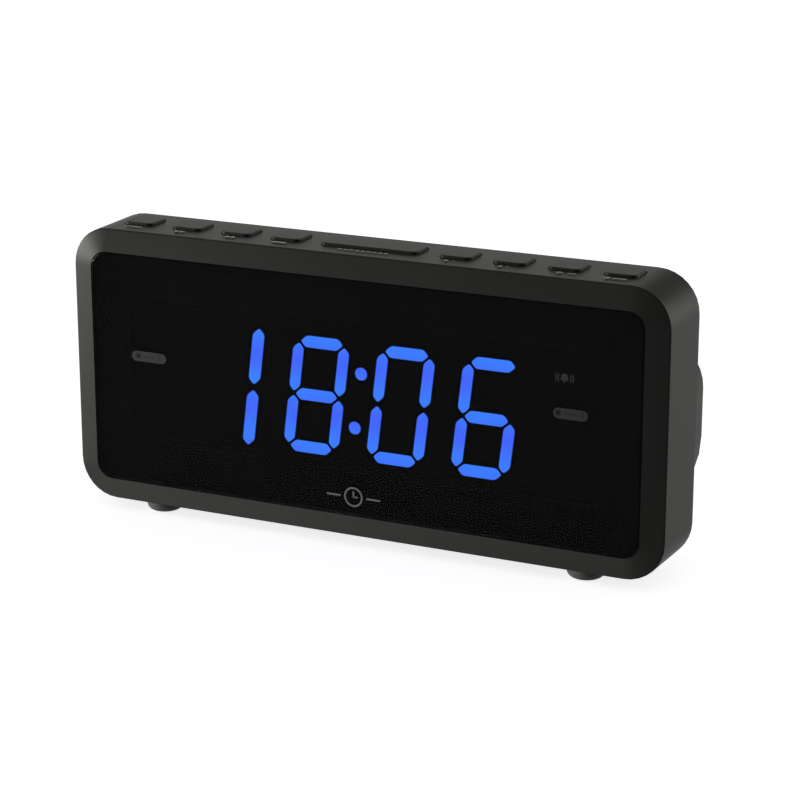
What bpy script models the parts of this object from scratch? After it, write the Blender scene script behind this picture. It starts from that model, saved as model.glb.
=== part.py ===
"""
Table clock radio: a shallow case with rounded corners, a dark display window in
a sloping bezel, a row of nine keys along the top and a speaker pod on the back.

Metres, +Z up. The display faces -Y and +X is to its right. The origin is on the
table, under the middle of the box that holds the whole radio.
"""
import bpy
import bmesh
from math import cos, pi, radians, sin
from mathutils import Matrix, Vector

# ---------------------------------------------------------------------------
# Driving dimensions
# ---------------------------------------------------------------------------
FIT_GAP = 0.0003            # between fixed pieces that touch

# Case
CASE_WIDTH = 0.1880         # at the front outer edge
CASE_HEIGHT = 0.0837
CASE_DEPTH = 0.0221         # front outer edge to back edge
CASE_CORNER = 0.0118
CASE_FLARE = 0.0004         # the back outline is larger by this on each side
CASE_CHAMFER = 0.0005       # along the front outer edge
CASE_WALL = 0.0020
FRONT_WALL = 0.0023         # from the front outer edge to the inner face
BEZEL_WIDTH = 0.0067
BEZEL_RIM = 0.0001          # the rim stands this far behind the lens face

# Display window
LENS_PROUD = 0.0017         # lens face in front of the front outer edge
LENS_THICKNESS = 0.0018
LENS_CORNER = 0.0047
LENS_EDGE = 0.0003
WINDOW_BORDER = 0.0115      # lens edge to the opening behind it, at the ends
WINDOW_BAND = 0.0135        # the same, above and below
REFLECTOR_DEPTH = 0.0047
BOARD_THICKNESS = 0.0016
BOARD_SPACING = 0.0040      # display board to main board

# Speaker pod on the back
POD_DEPTH = 0.0182          # behind the case's back edge
POD_SIDE_INSET = 0.0035     # rear face inside the case's side
POD_TOP_DROP = 0.0241       # rear face below the case's top
POD_FOOT_RISE = 0.0030      # rear face above the case's bottom
POD_DRAFT = 0.0007
POD_TOP_CORNER = 0.0132
POD_LOW_CORNER = 0.0290
POD_EDGE = 0.0012
COVER_INSET = 0.0002        # plate's outer face inside the case's back edge

# Keys, in one row along the top
KEY_WIDTH = 0.0100
LONG_KEY_WIDTH = 0.0310
KEY_LENGTH = 0.0092
KEY_CORNER = 0.0020
KEY_RISE = 0.0010
KEY_EDGE = 0.0004
KEY_ROW_MARGIN = 0.0128     # case side to the first key
KEY_BACK_MARGIN = 0.0055    # case back edge to the keys
KEY_CLEARANCE = 0.0003
KEY_FLANGE = 0.0008         # flange round the key, under the case top
FLANGE_THICKNESS = 0.0010
KEY_TRAVEL = 0.0005
STEM_SIZE = 0.0030
STEM_LENGTH = 0.0042

# Tact switches under the keys
SWITCH_SIZE = 0.0060
SWITCH_HEIGHT = 0.0034
PLUNGER_RADIUS = 0.0017
PLUNGER_LENGTH = 0.0024
PLUNGER_ENGAGED = 0.0013    # length inside the switch at rest
KEY_BOARD_LENGTH = 0.0100   # along Y
HANGER_SHARE = 0.311        # hanger's radius, as a share of the room between two flanges

# Feet
FOOT_RADIUS = 0.0056
FOOT_HEIGHT = 0.0033
FOOT_ROUND = 0.0022
FRONT_FOOT_INSET_X = 0.0253
FRONT_FOOT_INSET_Y = 0.0068
REAR_FOOT_INSET_X = 0.0390
REAR_FOOT_INSET_Y = 0.0085

# Screws and posts
COVER_SCREW_RADIUS = 0.0013
COVER_SCREW_LENGTH = 0.0080
SCREW_HEAD_RADIUS = 0.0024
SCREW_HEAD_HEIGHT = 0.0014
BOSS_RADIUS = 0.0031
BOSS_INSET_X = 0.0076       # boss centre inside the case's side
UPPER_BOSS_DROP = 0.0100
LOWER_BOSS_RISE = 0.0078
POST_RADIUS = 0.0024
POST_INSET_X = 0.0320
BOARD_SCREW_RADIUS = 0.0010
BOARD_SCREW_LENGTH = 0.0050

# Speaker
SPEAKER_RADIUS = 0.0180
SPEAKER_DEPTH = 0.0090      # flange and basket
SPEAKER_WALL = 0.0010
MAGNET_RADIUS = 0.0110
MAGNET_DEPTH = 0.0040
CONE_TRAVEL = 0.0003
SPEAKER_SOCKET_GAP = 0.0095 # between the speaker and the aerial grommet
GRILLE_PITCH = 0.0036
GRILLE_SLOT = 0.0018

# Battery bay
CELL_RADIUS = 0.00525
CELL_LENGTH = 0.0445
CELL_SPACING = 0.0112
BAY_WALL = 0.0012
BAY_JACK_GAP = 0.0031       # between the bay and the power socket
BAY_CLEARANCE = 0.0008
CONTACT_THICKNESS = 0.0005
DOOR_THICKNESS = 0.0018
DOOR_GAP = 0.00045
DOOR_LEDGE = 0.0016
DOOR_CORNER = 0.0009

# Sockets in the pod's rear face
JACK_SIZE = 0.0090
JACK_LENGTH = 0.0110
JACK_BORE = 0.0029
JACK_PIN = 0.0010
SOCKET_INSET_X = 0.0170
SOCKET_RISE = 0.0210
GROMMET_RADIUS = 0.0023
GROMMET_FLANGE = 0.0012
WIRE_HOLE = 0.0008

CORNER_STEPS = 8
SMALL_STEPS = 3

# ---------------------------------------------------------------------------
# Positions that follow from the dimensions
# ---------------------------------------------------------------------------
LENS_Y = -(LENS_PROUD + CASE_DEPTH + POD_DEPTH) / 2
EDGE_Y = LENS_Y + LENS_PROUD
BACK_Y = EDGE_Y + CASE_DEPTH
REAR_Y = BACK_Y + POD_DEPTH
INNER_FRONT_Y = EDGE_Y + FRONT_WALL
LEDGE_Y = LENS_Y + LENS_THICKNESS + FIT_GAP
PLATE_OUT_Y = BACK_Y - COVER_INSET
PLATE_IN_Y = PLATE_OUT_Y - CASE_WALL
POD_INNER_Y = REAR_Y - CASE_WALL

BASE_Z = FOOT_HEIGHT
TOP_Z = BASE_Z + CASE_HEIGHT
MID_Z = (BASE_Z + TOP_Z) / 2
HALF_WIDTH = CASE_WIDTH / 2

LENS_WIDTH = CASE_WIDTH - 2 * (BEZEL_WIDTH + FIT_GAP)
LENS_HEIGHT = CASE_HEIGHT - 2 * (BEZEL_WIDTH + FIT_GAP)
WINDOW_WIDTH = LENS_WIDTH - 2 * WINDOW_BORDER
WINDOW_HEIGHT = LENS_HEIGHT - 2 * WINDOW_BAND
WINDOW_CORNER = LENS_CORNER - 0.0015

REFLECTOR_Y = LEDGE_Y + FIT_GAP
DISPLAY_BOARD_Y = REFLECTOR_Y + REFLECTOR_DEPTH + FIT_GAP
MAIN_BOARD_Y = DISPLAY_BOARD_Y + BOARD_THICKNESS + BOARD_SPACING
MAIN_BOARD_BACK_Y = MAIN_BOARD_Y + BOARD_THICKNESS

KEY_TOP_Z = TOP_Z + KEY_RISE
FLANGE_TOP_Z = TOP_Z - CASE_WALL - FIT_GAP
FLANGE_LOW_Z = FLANGE_TOP_Z - FLANGE_THICKNESS
STEM_LOW_Z = FLANGE_LOW_Z - STEM_LENGTH
PLUNGER_TOP_Z = STEM_LOW_Z - FIT_GAP
SWITCH_TOP_Z = PLUNGER_TOP_Z - PLUNGER_LENGTH + PLUNGER_ENGAGED
KEY_BOARD_TOP_Z = SWITCH_TOP_Z - SWITCH_HEIGHT - FIT_GAP
KEY_BOARD_LOW_Z = KEY_BOARD_TOP_Z - BOARD_THICKNESS
KEY_Y = BACK_Y - KEY_BACK_MARGIN - KEY_LENGTH / 2

POD_WIDTH = CASE_WIDTH - 2 * POD_SIDE_INSET
POD_LOW_Z = BASE_Z + POD_FOOT_RISE
POD_TOP_Z = TOP_Z - POD_TOP_DROP
POD_MID_Z = (POD_LOW_Z + POD_TOP_Z) / 2

BAY_WIDTH = CELL_LENGTH + 2 * (CONTACT_THICKNESS + 2 * FIT_GAP + BAY_CLEARANCE)
BAY_HEIGHT = CELL_SPACING + 2 * (CELL_RADIUS + BAY_CLEARANCE)
BAY_OUT_Y = REAR_Y - DOOR_THICKNESS - DOOR_GAP
BAY_FLOOR_Y = BAY_OUT_Y - 2 * (CELL_RADIUS + FIT_GAP)
DOOR_WIDTH = BAY_WIDTH + 2 * DOOR_LEDGE
DOOR_HEIGHT = BAY_HEIGHT + 2 * DOOR_LEDGE
DOOR_LOW_Z = POD_MID_Z - DOOR_HEIGHT / 2

JACK_X = -(HALF_WIDTH - SOCKET_INSET_X)
GROMMET_X = HALF_WIDTH - SOCKET_INSET_X
SOCKET_Z = BASE_Z + SOCKET_RISE
BAY_BORDER = DOOR_LEDGE + DOOR_GAP + BAY_WALL
BAY_X = JACK_X + JACK_SIZE / 2 + BAY_JACK_GAP + BAY_BORDER + BAY_WIDTH / 2
SPEAKER_X = GROMMET_X - GROMMET_RADIUS - GROMMET_FLANGE - SPEAKER_SOCKET_GAP - SPEAKER_RADIUS

# ---------------------------------------------------------------------------
# Scene, collections and materials
# ---------------------------------------------------------------------------
for old in list(bpy.data.objects):
    bpy.data.objects.remove(old)

parts = bpy.data.collections.new("clock_radio")
cutters = bpy.data.collections.new("cutters")
bpy.context.scene.collection.children.link(parts)
bpy.context.scene.collection.children.link(cutters)


def make_material(name, colour, roughness, metallic=0.0):
    material = bpy.data.materials.new(name)
    material.use_nodes = True
    shader = material.node_tree.nodes["Principled BSDF"]
    shader.inputs["Base Color"].default_value = (*colour, 1.0)
    shader.inputs["Roughness"].default_value = roughness
    shader.inputs["Metallic"].default_value = metallic
    material.diffuse_color = (*colour, 1.0)
    return material


CASE_PLASTIC = make_material("case_plastic", (0.030, 0.030, 0.028), 0.45)
KEY_PLASTIC = make_material("key_plastic", (0.034, 0.034, 0.032), 0.42)
LENS_PLASTIC = make_material("lens_plastic", (0.003, 0.003, 0.003), 0.08)
BLACK_PLASTIC = make_material("black_plastic", (0.012, 0.012, 0.012), 0.60)
WHITE_PLASTIC = make_material("white_plastic", (0.70, 0.69, 0.64), 0.45)
BOARD_LAMINATE = make_material("board_laminate", (0.020, 0.110, 0.045), 0.50)
CHIP_RESIN = make_material("chip_resin", (0.018, 0.018, 0.020), 0.50)
RUBBER = make_material("rubber", (0.016, 0.016, 0.016), 0.85)
STEEL = make_material("steel", (0.55, 0.55, 0.56), 0.30, 1.0)
FERRITE = make_material("ferrite", (0.060, 0.058, 0.056), 0.55)
CONE_PAPER = make_material("cone_paper", (0.022, 0.021, 0.020), 0.90)
CELL_JACKET = make_material("cell_jacket", (0.10, 0.12, 0.16), 0.35, 0.2)
CAPACITOR_SLEEVE = make_material("capacitor_sleeve", (0.02, 0.03, 0.10), 0.35)
RIBBON_VINYL = make_material("ribbon_vinyl", (0.42, 0.42, 0.43), 0.55)


# ---------------------------------------------------------------------------
# Shape helpers
# ---------------------------------------------------------------------------
def rounded(width, low, high, radius, top_radius=None, steps=CORNER_STEPS):
    """Outline of a rounded rectangle as (across, up) points, anticlockwise."""
    upper = radius if top_radius is None else top_radius
    half = width / 2
    corners = (
        (half - upper, high - upper, upper, 0),
        (upper - half, high - upper, upper, 90),
        (radius - half, low + radius, radius, 180),
        (half - radius, low + radius, radius, 270),
    )
    points = []
    for across, up, r, start in corners:
        for step in range(steps + 1):
            angle = radians(start + 90 * step / steps)
            points.append((across + r * cos(angle), up + r * sin(angle)))
    return points


def add_loft(bm, sections, axis, centre=(0.0, 0.0)):
    """Closed loft through outlines, each given with its station on the axis."""
    rings = []
    for outline, station in sections:
        ring = []
        for across, up in outline:
            a, b = across + centre[0], up + centre[1]
            position = (a, station, b) if axis == "Y" else (a, b, station)
            ring.append(bm.verts.new(position))
        rings.append(ring)
    faces = [bm.faces.new(rings[0]), bm.faces.new(rings[-1])]
    for near, far in zip(rings, rings[1:]):
        for i in range(len(near)):
            j = (i + 1) % len(near)
            faces.append(bm.faces.new((near[i], near[j], far[j], far[i])))
    bmesh.ops.recalc_face_normals(bm, faces=faces)


def add_box(bm, low, high):
    """Box between two opposite corners."""
    low, high = Vector(low), Vector(high)
    size = high - low
    place = Matrix.Translation((low + high) / 2) @ Matrix.Diagonal((*size, 1.0))
    bmesh.ops.create_cube(bm, size=1.0, matrix=place)


def add_rod(bm, radius, start, length, axis="Y", segments=16):
    """Cylinder from a start point, along +Y or +Z."""
    turn = Matrix.Rotation(-pi / 2, 4, "X") if axis == "Y" else Matrix.Identity(4)
    shift = Matrix.Translation((0.0, 0.0, length / 2))
    place = Matrix.Translation(start) @ turn @ shift
    bmesh.ops.create_cone(
        bm, cap_ends=True, segments=segments, radius1=radius, radius2=radius,
        depth=length, matrix=place)


def add_object(name, bm, material, origin=(0.0, 0.0, 0.0), smooth=35):
    """Turns a mesh drawn in world space into a piece with its own origin."""
    mesh = bpy.data.meshes.new(name)
    bmesh.ops.translate(bm, vec=-Vector(origin), verts=bm.verts)
    bm.to_mesh(mesh)
    bm.free()
    mesh.materials.append(material)
    mesh.shade_smooth()
    mesh.set_sharp_from_angle(angle=radians(smooth))
    piece = bpy.data.objects.new(name, mesh)
    piece.location = origin
    parts.objects.link(piece)
    return piece


def add_cutter(name, bm):
    mesh = bpy.data.meshes.new(name)
    bm.to_mesh(mesh)
    bm.free()
    cutter = bpy.data.objects.new(name, mesh)
    cutter.hide_render = True
    cutter.display_type = "WIRE"
    cutters.objects.link(cutter)
    return cutter


def combine(piece, operation, cutter):
    boolean = piece.modifiers.new(cutter.name, "BOOLEAN")
    boolean.operation = operation
    boolean.object = cutter
    boolean.solver = "EXACT"


def turned(name, profile, material, origin, toward="Z", steps=24):
    """Turned piece: (radius, height) points from the top down its outer side."""
    mesh = bpy.data.meshes.new(name)
    points = [(radius, 0.0, height) for radius, height in profile]
    edges = [(i, i + 1) for i in range(len(points) - 1)]
    if profile[0][0] > 0.0:
        edges.append((len(points) - 1, 0))
    mesh.from_pydata(points, edges, [])
    mesh.materials.append(material)
    piece = bpy.data.objects.new(name, mesh)
    piece.location = origin
    if toward == "Y":
        piece.rotation_euler = (-pi / 2, 0.0, 0.0)
    parts.objects.link(piece)
    screw = piece.modifiers.new("turn", "SCREW")
    screw.steps = steps
    screw.render_steps = steps
    screw.use_merge_vertices = True
    screw.merge_threshold = 0.00001
    screw.use_smooth_shade = True
    return piece


# ---------------------------------------------------------------------------
# Front housing: bezel, top, sides and bottom in one moulding, open at the back
# ---------------------------------------------------------------------------
def case_outline(offset, flare=0.0):
    """Case outline moved in by an offset, at the front edge plus a flare."""
    grow = flare - offset
    return rounded(
        CASE_WIDTH + 2 * grow, BASE_Z - grow, TOP_Z + grow, CASE_CORNER + grow)


def window_outline(width, height, radius):
    return rounded(width, MID_Z - height / 2, MID_Z + height / 2, radius)


bm = bmesh.new()
rim_width = LENS_WIDTH + 2 * FIT_GAP
rim_height = LENS_HEIGHT + 2 * FIT_GAP
add_loft(bm, [
    (window_outline(rim_width, rim_height, LENS_CORNER + FIT_GAP), LENS_Y + BEZEL_RIM),
    (case_outline(CASE_CHAMFER), EDGE_Y),
    (case_outline(0.0), EDGE_Y + CASE_CHAMFER),
    (case_outline(0.0, CASE_FLARE), BACK_Y),
], "Y")
front_housing = add_object("front_housing", bm, CASE_PLASTIC)

bm = bmesh.new()
add_loft(bm, [
    (case_outline(CASE_WALL), INNER_FRONT_Y),
    (case_outline(CASE_WALL, CASE_FLARE), BACK_Y + CASE_WALL),
], "Y")
combine(front_housing, "DIFFERENCE", add_cutter("housing_cavity", bm))

bm = bmesh.new()
lens_seat = window_outline(rim_width, rim_height, LENS_CORNER + FIT_GAP)
add_loft(bm, [(lens_seat, LENS_Y - CASE_WALL), (lens_seat, LEDGE_Y)], "Y")
combine(front_housing, "DIFFERENCE", add_cutter("lens_seat", bm))

bm = bmesh.new()
opening = window_outline(WINDOW_WIDTH, WINDOW_HEIGHT, WINDOW_CORNER)
add_loft(bm, [(opening, LENS_Y), (opening, INNER_FRONT_Y + CASE_WALL)], "Y")
combine(front_housing, "DIFFERENCE", add_cutter("display_opening", bm))

# Key row: four keys, the long key, four keys, evenly spaced between the margins
widths = [KEY_WIDTH] * 4 + [LONG_KEY_WIDTH] + [KEY_WIDTH] * 4
row_length = CASE_WIDTH - 2 * KEY_ROW_MARGIN
key_gap = (row_length - sum(widths)) / (len(widths) - 1)
key_centres = []
left = -row_length / 2
for width in widths:
    key_centres.append(left + width / 2)
    left += width + key_gap


def key_outline(width, grow):
    half = KEY_LENGTH / 2 + grow
    return rounded(width + 2 * grow, -half, half, KEY_CORNER + grow, steps=SMALL_STEPS)


bm = bmesh.new()
for width, x in zip(widths, key_centres):
    hole = key_outline(width, KEY_CLEARANCE)
    add_loft(bm, [(hole, TOP_Z - 2 * CASE_WALL), (hole, KEY_TOP_Z)], "Z", (x, KEY_Y))
combine(front_housing, "DIFFERENCE", add_cutter("key_holes", bm))

# Bosses for the cover screws, posts for the main board and hangers for the
# key board, all standing on the inside of the case
boss_x = HALF_WIDTH - BOSS_INSET_X
upper_boss_z = TOP_Z - UPPER_BOSS_DROP
lower_boss_z = BASE_Z + LOWER_BOSS_RISE
boss_places = [(side * boss_x, z) for z in (upper_boss_z, lower_boss_z) for side in (-1, 1)]
boss_end_y = PLATE_IN_Y - FIT_GAP
sunk_y = INNER_FRONT_Y - FRONT_WALL / 2

post_x = HALF_WIDTH - POST_INSET_X
window_low_z = MID_Z - WINDOW_HEIGHT / 2
post_z = (window_low_z + BASE_Z + CASE_WALL) / 2
post_end_y = MAIN_BOARD_Y - FIT_GAP
post_places = [(-post_x, post_z), (post_x, post_z)]

hanger_x = [(key_centres[0] + key_centres[1]) / 2, (key_centres[7] + key_centres[8]) / 2]
hanger_radius = HANGER_SHARE * (key_gap - 2 * KEY_FLANGE)
hanger_low_z = KEY_BOARD_TOP_Z + FIT_GAP

bm = bmesh.new()
for x, z in boss_places:
    add_rod(bm, BOSS_RADIUS, (x, sunk_y, z), boss_end_y - sunk_y)
for x, z in post_places:
    add_rod(bm, POST_RADIUS, (x, sunk_y, z), post_end_y - sunk_y)
for x in hanger_x:
    add_rod(bm, hanger_radius, (x, KEY_Y, hanger_low_z),
            TOP_Z - CASE_WALL / 2 - hanger_low_z, "Z", 12)
combine(front_housing, "UNION", add_cutter("bosses", bm))

bm = bmesh.new()
for x, z in boss_places:
    depth = COVER_SCREW_LENGTH
    add_rod(bm, COVER_SCREW_RADIUS + FIT_GAP, (x, boss_end_y - depth, z), 2 * depth, segments=12)
for x, z in post_places:
    depth = BOARD_SCREW_LENGTH
    add_rod(bm, BOARD_SCREW_RADIUS + FIT_GAP, (x, post_end_y - depth, z), 2 * depth, segments=12)
combine(front_housing, "DIFFERENCE", add_cutter("boss_holes", bm))

# ---------------------------------------------------------------------------
# Display: smoked lens, digit reflector and the board with the lamps
# ---------------------------------------------------------------------------
bm = bmesh.new()
edge = 2 * LENS_EDGE
add_loft(bm, [
    (window_outline(LENS_WIDTH - edge, LENS_HEIGHT - edge, LENS_CORNER - LENS_EDGE), LENS_Y),
    (window_outline(LENS_WIDTH, LENS_HEIGHT, LENS_CORNER), LENS_Y + LENS_EDGE),
    (window_outline(LENS_WIDTH, LENS_HEIGHT, LENS_CORNER), LENS_Y + LENS_THICKNESS),
], "Y")
add_object("display_lens", bm, LENS_PLASTIC, (0.0, LENS_Y, MID_Z))

reflector_width = WINDOW_WIDTH - 2 * FIT_GAP
reflector_height = WINDOW_HEIGHT - 2 * FIT_GAP
bm = bmesh.new()
block = window_outline(reflector_width, reflector_height, WINDOW_CORNER - FIT_GAP)
add_loft(bm, [(block, REFLECTOR_Y), (block, REFLECTOR_Y + REFLECTOR_DEPTH)], "Y")
add_object("digit_reflector", bm, BLACK_PLASTIC, (0.0, REFLECTOR_Y, MID_Z))

bm = bmesh.new()
add_box(bm,
        (-reflector_width / 2, DISPLAY_BOARD_Y, MID_Z - reflector_height / 2),
        (reflector_width / 2, DISPLAY_BOARD_Y + BOARD_THICKNESS, MID_Z + reflector_height / 2))
add_object("display_board", bm, BOARD_LAMINATE, (0.0, DISPLAY_BOARD_Y, MID_Z))

# ---------------------------------------------------------------------------
# Main board with its parts, held by two screws
# ---------------------------------------------------------------------------
board_half = HALF_WIDTH - 2 * BOSS_INSET_X
board_low_z = BASE_Z + 2 * CASE_WALL + LOWER_BOSS_RISE / 4
board_top_z = KEY_BOARD_LOW_Z - 3 * FIT_GAP
bm = bmesh.new()
add_box(bm, (-board_half, MAIN_BOARD_Y, board_low_z),
        (board_half, MAIN_BOARD_BACK_Y, board_top_z))
main_board = add_object("main_board", bm, BOARD_LAMINATE, (0.0, MAIN_BOARD_Y, MID_Z))
bm = bmesh.new()
for x, z in post_places:
    add_rod(bm, BOARD_SCREW_RADIUS + FIT_GAP, (x, MAIN_BOARD_Y - BOARD_THICKNESS, z),
            3 * BOARD_THICKNESS, segments=12)
combine(main_board, "DIFFERENCE", add_cutter("board_holes", bm))


def on_main_board(name, size, place, material):
    """Rectangular part on the main board's back, at an (x, z) place."""
    low_y = MAIN_BOARD_BACK_Y + FIT_GAP
    bm = bmesh.new()
    add_box(bm, (place[0] - size[0] / 2, low_y, place[1] - size[2] / 2),
            (place[0] + size[0] / 2, low_y + size[1], place[1] + size[2] / 2))
    return add_object(name, bm, material, (place[0], low_y, place[1]))


on_main_board("controller_chip", (0.0140, 0.0016, 0.0140), (-0.004, MID_Z), CHIP_RESIN)
on_main_board("tuner_chip", (0.0100, 0.0015, 0.0062), (0.030, MID_Z), CHIP_RESIN)

cap_radius = 0.0040
cap_length = 0.0085
cap_top = cap_length
turned("filter_capacitor", [
    (0.0, cap_top),
    (cap_radius - 0.0005, cap_top),
    (cap_radius, cap_top - 0.0005),
    (cap_radius, 0.0),
    (0.0, 0.0),
], CAPACITOR_SLEEVE, (0.0, MAIN_BOARD_BACK_Y + FIT_GAP, post_z + 0.004), "Y", 20)

bm = bmesh.new()
connector_y = DISPLAY_BOARD_Y + BOARD_THICKNESS + FIT_GAP
add_box(bm, (-0.014, connector_y, MID_Z - 0.0025),
        (0.014, MAIN_BOARD_Y - FIT_GAP, MID_Z + 0.0025))
add_object("board_connector", bm, BLACK_PLASTIC, (0.0, connector_y, MID_Z))

# ---------------------------------------------------------------------------
# Keys, their tact switches and the key board
# ---------------------------------------------------------------------------
bm = bmesh.new()
key_board_half = row_length / 2
add_box(bm, (-key_board_half, KEY_Y - KEY_BOARD_LENGTH / 2, KEY_BOARD_LOW_Z),
        (key_board_half, KEY_Y + KEY_BOARD_LENGTH / 2, KEY_BOARD_TOP_Z))
add_object("key_board", bm, BOARD_LAMINATE, (0.0, KEY_Y, KEY_BOARD_TOP_Z))


def stem_outline():
    half = STEM_SIZE / 2
    return rounded(STEM_SIZE, -half, half, STEM_SIZE / 6, steps=SMALL_STEPS)


def make_key(name, width, x):
    """Cap, flange and stem of one key, from the stem's foot to the cap's top."""
    bm = bmesh.new()
    add_loft(bm, [
        (stem_outline(), STEM_LOW_Z),
        (stem_outline(), FLANGE_LOW_Z),
        (key_outline(width, KEY_FLANGE), FLANGE_LOW_Z),
        (key_outline(width, KEY_FLANGE), FLANGE_TOP_Z),
        (key_outline(width, 0.0), FLANGE_TOP_Z),
        (key_outline(width, 0.0), KEY_TOP_Z - KEY_EDGE),
        (key_outline(width, -0.3 * KEY_EDGE), KEY_TOP_Z - 0.3 * KEY_EDGE),
        (key_outline(width, -KEY_EDGE), KEY_TOP_Z),
    ], "Z", (x, KEY_Y))
    add_object(name, bm, KEY_PLASTIC, (x, KEY_Y, TOP_Z))


def make_switch(name, x):
    """Square tact switch with a round well for its plunger."""
    half = SWITCH_SIZE / 2
    low_z = SWITCH_TOP_Z - SWITCH_HEIGHT
    bm = bmesh.new()
    add_box(bm, (x - half, KEY_Y - half, low_z), (x + half, KEY_Y + half, SWITCH_TOP_Z))
    switch = add_object(name, bm, BLACK_PLASTIC, (x, KEY_Y, low_z))
    well = PLUNGER_ENGAGED + KEY_TRAVEL + FIT_GAP
    bm = bmesh.new()
    add_rod(bm, PLUNGER_RADIUS + FIT_GAP, (x, KEY_Y, SWITCH_TOP_Z - well), 2 * well, "Z", 12)
    combine(switch, "DIFFERENCE", add_cutter(name + "_well", bm))


def make_plunger(name, x):
    low_z = PLUNGER_TOP_Z - PLUNGER_LENGTH
    bm = bmesh.new()
    add_rod(bm, PLUNGER_RADIUS, (x, KEY_Y, low_z), PLUNGER_LENGTH, "Z", 12)
    add_object(name, bm, WHITE_PLASTIC, (x, KEY_Y, low_z))


for index, (width, x) in enumerate(zip(widths, key_centres), start=1):
    make_key(f"key_{index}", width, x)
    make_switch(f"switch_{index}", x)
    make_plunger(f"plunger_{index}", x)

# Flat ribbon from the main board's back, over its edge, to under the key board
ribbon_x = -0.0300
ribbon_half = 0.0060
ribbon_y = MAIN_BOARD_BACK_Y + 2 * FIT_GAP
ribbon_top_z = KEY_BOARD_LOW_Z - 1.5 * FIT_GAP
ribbon_path = [
    (ribbon_y, board_top_z - 0.0120),
    (ribbon_y, ribbon_top_z),
    (KEY_Y - KEY_BOARD_LENGTH / 4, ribbon_top_z),
]
bm = bmesh.new()
sides = []
for x in (ribbon_x - ribbon_half, ribbon_x + ribbon_half):
    sides.append([bm.verts.new((x, y, z)) for y, z in ribbon_path])
for i in range(len(ribbon_path) - 1):
    bm.faces.new((sides[0][i], sides[1][i], sides[1][i + 1], sides[0][i + 1]))
ribbon = add_object("key_ribbon", bm, RIBBON_VINYL)
solid = ribbon.modifiers.new("thickness", "SOLIDIFY")
solid.thickness = 0.0003
solid.offset = 0.0
solid.use_even_offset = True

# ---------------------------------------------------------------------------
# Rear cover: plate, pod, grille, battery bay and sockets
# ---------------------------------------------------------------------------
def pod_outline(inward, draft):
    """Pod outline moved in by an amount, with the draft of its station."""
    grow = draft - inward
    return rounded(
        POD_WIDTH + 2 * grow, POD_LOW_Z - grow, POD_TOP_Z + grow,
        POD_LOW_CORNER + grow, POD_TOP_CORNER + grow)


def plate_outline():
    return case_outline(CASE_WALL + FIT_GAP, CASE_FLARE)


bm = bmesh.new()
add_loft(bm, [(plate_outline(), PLATE_IN_Y), (plate_outline(), PLATE_OUT_Y)], "Y")
rear_cover = add_object("rear_cover", bm, CASE_PLASTIC)

bm = bmesh.new()
pod_start_y = (PLATE_IN_Y + PLATE_OUT_Y) / 2
add_loft(bm, [
    (pod_outline(0.0, POD_DRAFT), pod_start_y),
    (pod_outline(0.0, 0.0), REAR_Y - POD_EDGE),
    (pod_outline(0.3 * POD_EDGE, 0.0), REAR_Y - 0.3 * POD_EDGE),
    (pod_outline(POD_EDGE, 0.0), REAR_Y),
], "Y")
combine(rear_cover, "UNION", add_cutter("pod_body", bm))

bm = bmesh.new()
add_loft(bm, [
    (pod_outline(CASE_WALL, POD_DRAFT), PLATE_IN_Y - CASE_WALL),
    (pod_outline(CASE_WALL, 0.0), POD_INNER_Y),
], "Y")
combine(rear_cover, "DIFFERENCE", add_cutter("pod_cavity", bm))

# Legs under the pod carry the rear feet
rear_foot_x = HALF_WIDTH - REAR_FOOT_INSET_X
rear_foot_y = REAR_Y - REAR_FOOT_INSET_Y
bay_low_z = POD_MID_Z - BAY_HEIGHT / 2
bay_top_z = POD_MID_Z + BAY_HEIGHT / 2
bay_left = BAY_X - BAY_WIDTH / 2
bay_right = BAY_X + BAY_WIDTH / 2

bm = bmesh.new()
for side in (-1, 1):
    add_rod(bm, FOOT_RADIUS, (side * rear_foot_x, rear_foot_y, BASE_Z),
            POD_FOOT_RISE + CASE_WALL / 2, "Z", 20)
add_box(bm, (bay_left - BAY_BORDER, BAY_FLOOR_Y - BAY_WALL, bay_low_z - BAY_BORDER),
        (bay_right + BAY_BORDER, REAR_Y - CASE_WALL / 2, bay_top_z + BAY_BORDER))
combine(rear_cover, "UNION", add_cutter("legs_and_bay", bm))

bm = bmesh.new()
add_box(bm, (bay_left, BAY_FLOOR_Y, bay_low_z), (bay_right, REAR_Y + CASE_WALL, bay_top_z))
combine(rear_cover, "DIFFERENCE", add_cutter("bay_hollow", bm))

bm = bmesh.new()
recess = rounded(
    DOOR_WIDTH + 2 * DOOR_GAP, DOOR_LOW_Z - DOOR_GAP, DOOR_LOW_Z + DOOR_HEIGHT + DOOR_GAP,
    DOOR_CORNER + DOOR_GAP, steps=SMALL_STEPS)
add_loft(bm, [(recess, BAY_OUT_Y), (recess, REAR_Y + CASE_WALL)], "Y", (BAY_X, 0.0))
combine(rear_cover, "DIFFERENCE", add_cutter("door_recess", bm))

# Grille: rows of round-ended slots that fill a circle over the speaker
grille_radius = SPEAKER_RADIUS - 0.0035
rows = int((grille_radius ** 2 - (GRILLE_SLOT / 2) ** 2) ** 0.5 / GRILLE_PITCH)
bm = bmesh.new()
for row in range(-rows, rows + 1):
    height = row * GRILLE_PITCH
    half_length = (grille_radius ** 2 - height ** 2) ** 0.5
    slot = rounded(2 * half_length, height - GRILLE_SLOT / 2, height + GRILLE_SLOT / 2,
                   GRILLE_SLOT / 2.02, steps=SMALL_STEPS)
    add_loft(bm, [(slot, POD_INNER_Y - CASE_WALL), (slot, REAR_Y + CASE_WALL)], "Y",
             (SPEAKER_X, POD_MID_Z))
combine(rear_cover, "DIFFERENCE", add_cutter("grille_slots", bm))

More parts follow.
